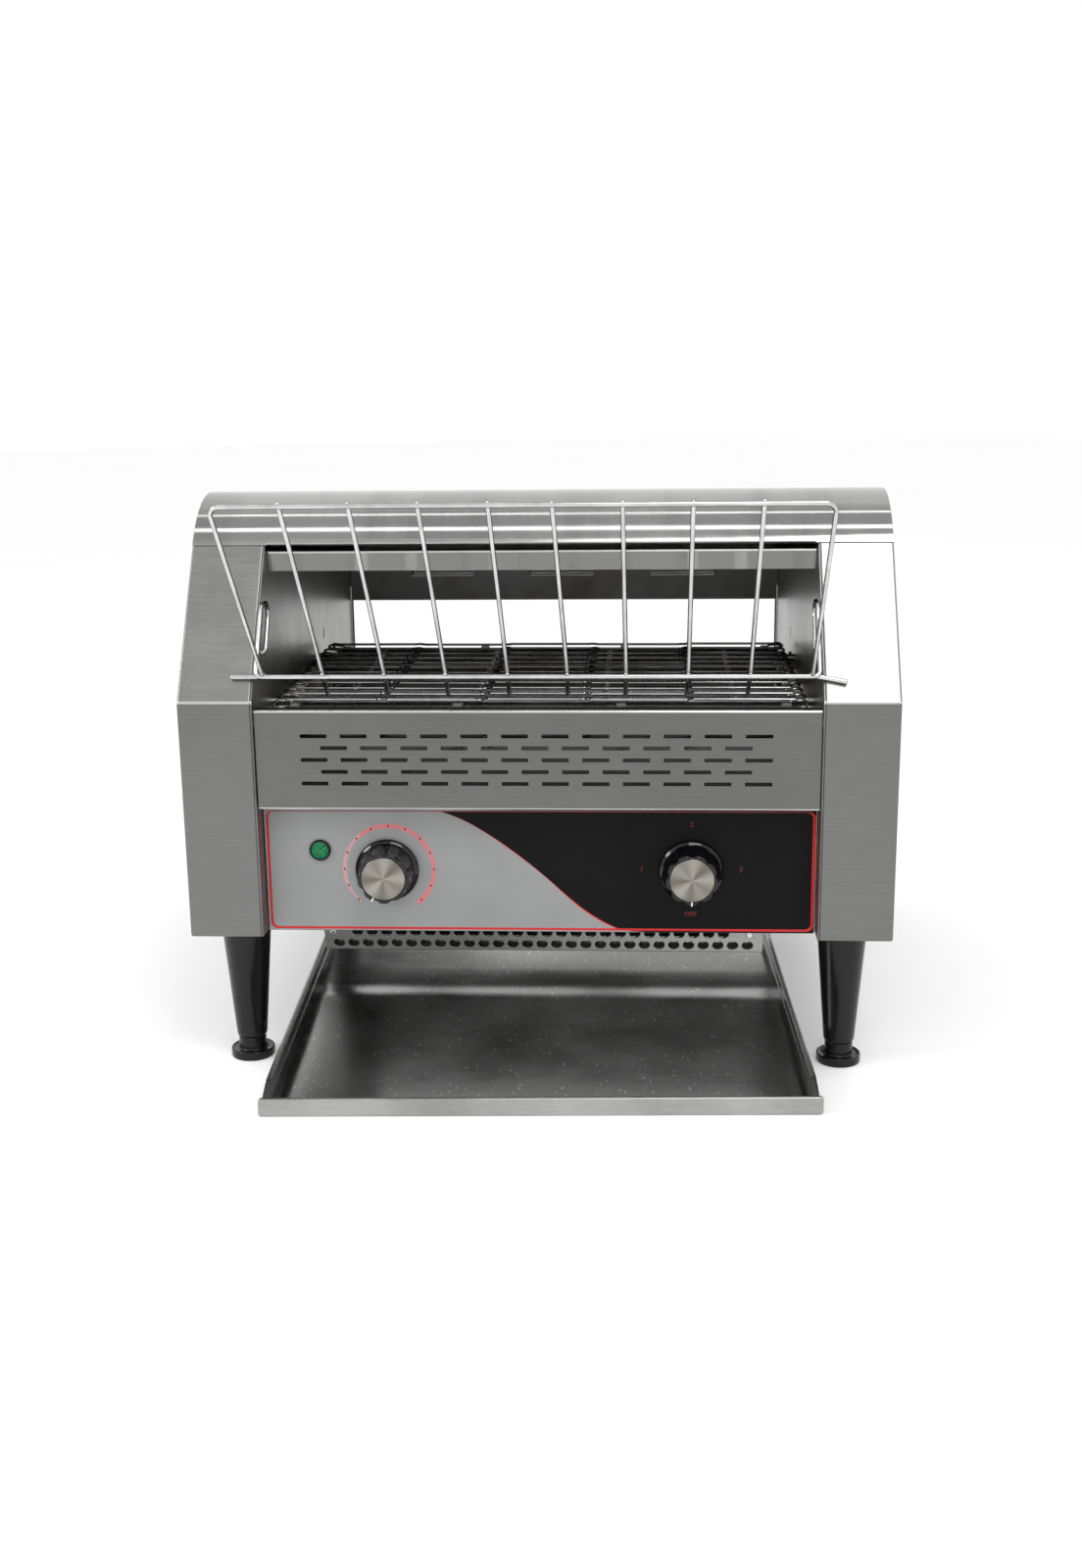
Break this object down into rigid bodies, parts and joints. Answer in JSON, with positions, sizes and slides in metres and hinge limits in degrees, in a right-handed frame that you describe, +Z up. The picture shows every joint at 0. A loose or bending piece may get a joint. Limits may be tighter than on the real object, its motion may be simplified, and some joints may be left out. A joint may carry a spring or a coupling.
{
  "type": "conveyor toaster",
  "caption": "Counter-top conveyor toaster: wire belt between heaters, tilting wire feed rack, slotted front, control panel with two dials, adjustable legs, loose toast tray.",
  "frame": {"origin": "middle of the overall box, on the surface that the feet stand on", "axes": "+X to the right seen from the front, +Y from the front to the rear, +Z up"},
  "size_m": [0.4736, 0.4832, 0.3981],
  "materials": {
    "brushed_steel": "fine brushed stainless sheet",
    "belly_steel": "brushed stainless sheet with round perforations",
    "inner_steel": "heat-dulled stainless sheet",
    "rack_wire": "bright plated wire",
    "belt_wire": "stainless wire darkened by heat",
    "machine_steel": "turned and zinc-plated steel",
    "bearing_bronze": "sintered bronze",
    "label_print": "printed film, grey and black with a red line",
    "black_plastic": "moulded, satin gloss",
    "leg_plastic": "moulded, glossy",
    "knob_cap": "spun-brushed disc",
    "pointer_white": "painted mark",
    "lamp_green": "clear tinted moulding",
    "heater_tube": "quartz tube with a wire coil inside",
    "ceramic": "glazed ceramic",
    "motor_case": "zinc-plated pressed steel",
    "moulded_black": "moulded"
  },
  "bodies": {
    "machine": {"belly_plate": "belly_steel", "belt_runners": "machine_steel", "cable_gland": "moulded_black", "control_label": "label_print", "control_panel": "brushed_steel", "cover_screws": "machine_steel", "drive_chain": "machine_steel", "front_bearings": "bearing_bronze", "front_louvre_panel": "brushed_steel", "gear_motor": "motor_case", "guide_plate": "inner_steel", "heat_shield": "inner_steel", "hood": "brushed_steel", "inner_wall_left": "inner_steel", "inner_wall_right": "inner_steel", "lamp_bezel": "black_plastic", "lamp_lens": "lamp_green", "leg_bolts": "machine_steel", "leg_front_left": "leg_plastic", "leg_front_right": "leg_plastic", "leg_rear_left": "leg_plastic", "leg_rear_right": "leg_plastic", "lower_heater_ends": "ceramic", "lower_heater_tubes": "heater_tube", "motor_bracket": "machine_steel", "rear_bearings": "bearing_bronze", "rear_panel": "inner_steel", "selector_switch": "moulded_black", "side_housing_left": "brushed_steel", "side_housing_right": "brushed_steel", "speed_control": "moulded_black", "terminal_block": "ceramic", "terminal_bracket": "machine_steel", "toast_chute": "inner_steel", "top_reflector": "brushed_steel", "upper_heater_ends": "ceramic", "upper_heater_tubes": "heater_tube", "wire_belt": "belt_wire"},
    "front_roller": {"front_shaft": "machine_steel", "front_belt_wheels": "machine_steel"},
    "rear_roller": {"rear_shaft": "machine_steel", "rear_belt_wheels": "machine_steel", "drive_sprocket": "machine_steel"},
    "motor_drive": {"motor_sprocket": "machine_steel", "motor_shaft": "machine_steel"},
    "colour_dial": {"colour_knob_cap": "knob_cap", "colour_knob_grip": "black_plastic", "colour_knob_pointer": "pointer_white", "colour_knob_shaft": "machine_steel"},
    "selector_dial": {"selector_knob_cap": "knob_cap", "selector_knob_grip": "black_plastic", "selector_knob_pointer": "pointer_white", "selector_knob_shaft": "machine_steel"},
    "rack": {"feed_rack": "rack_wire", "rack_wires": "rack_wire"},
    "tray": {"toast_tray": "brushed_steel"},
    "foot_front_left_screw": {"foot_front_left": "leg_plastic"},
    "foot_front_right_screw": {"foot_front_right": "leg_plastic"},
    "foot_rear_left_screw": {"foot_rear_left": "leg_plastic"},
    "foot_rear_right_screw": {"foot_rear_right": "leg_plastic"}
  },
  "joints": [
    {"name": "rear_roller_spin", "type": "hinge", "parent": "machine", "child": "rear_roller", "pos_m": [0, 0.0854, 0.2375], "axis": [-1, 0, 0], "continuous": true},
    {"name": "front_roller_spin", "type": "hinge", "parent": "machine", "child": "front_roller", "pos_m": [0, -0.1346, 0.2375], "axis": [-1, 0, 0], "continuous": true},
    {"name": "motor_spin", "type": "hinge", "parent": "machine", "child": "motor_drive", "pos_m": [0.197, 0.1084, 0.161], "axis": [-1, 0, 0], "continuous": true},
    {"name": "colour_dial_turn", "type": "hinge", "parent": "machine", "child": "colour_dial", "pos_m": [-0.102, -0.1766, 0.1445], "axis": [0, 1, 0], "range_deg": [0, 300]},
    {"name": "selector_dial_turn", "type": "hinge", "parent": "machine", "child": "selector_dial", "pos_m": [0.102, -0.1766, 0.1445], "axis": [0, 1, 0], "range_deg": [0, 270]},
    {"name": "rack_tilt", "type": "hinge", "parent": "machine", "child": "rack", "pos_m": [0, -0.1381, 0.2886], "axis": [1, 0, 0], "range_deg": [-60, 0]},
    {"name": "tray_pull", "type": "slide", "parent": "machine", "child": "tray", "axis": [0.0384, -0.9993, 0], "range_m": [0, 0.3]},
    {"name": "foot_front_left_height", "type": "slide", "parent": "machine", "child": "foot_front_left_screw", "axis": [0, 0, -1], "range_m": [0, 0.02]},
    {"name": "foot_front_right_height", "type": "slide", "parent": "machine", "child": "foot_front_right_screw", "axis": [0, 0, -1], "range_m": [0, 0.02]},
    {"name": "foot_rear_left_height", "type": "slide", "parent": "machine", "child": "foot_rear_left_screw", "axis": [0, 0, -1], "range_m": [0, 0.02]},
    {"name": "foot_rear_right_height", "type": "slide", "parent": "machine", "child": "foot_rear_right_screw", "axis": [0, 0, -1], "range_m": [0, 0.02]}
  ],
  "couplings": [
    {"joint": "front_roller_spin", "follows": "rear_roller_spin", "ratio": 1},
    {"joint": "motor_spin", "follows": "rear_roller_spin", "ratio": 2}
  ]
}
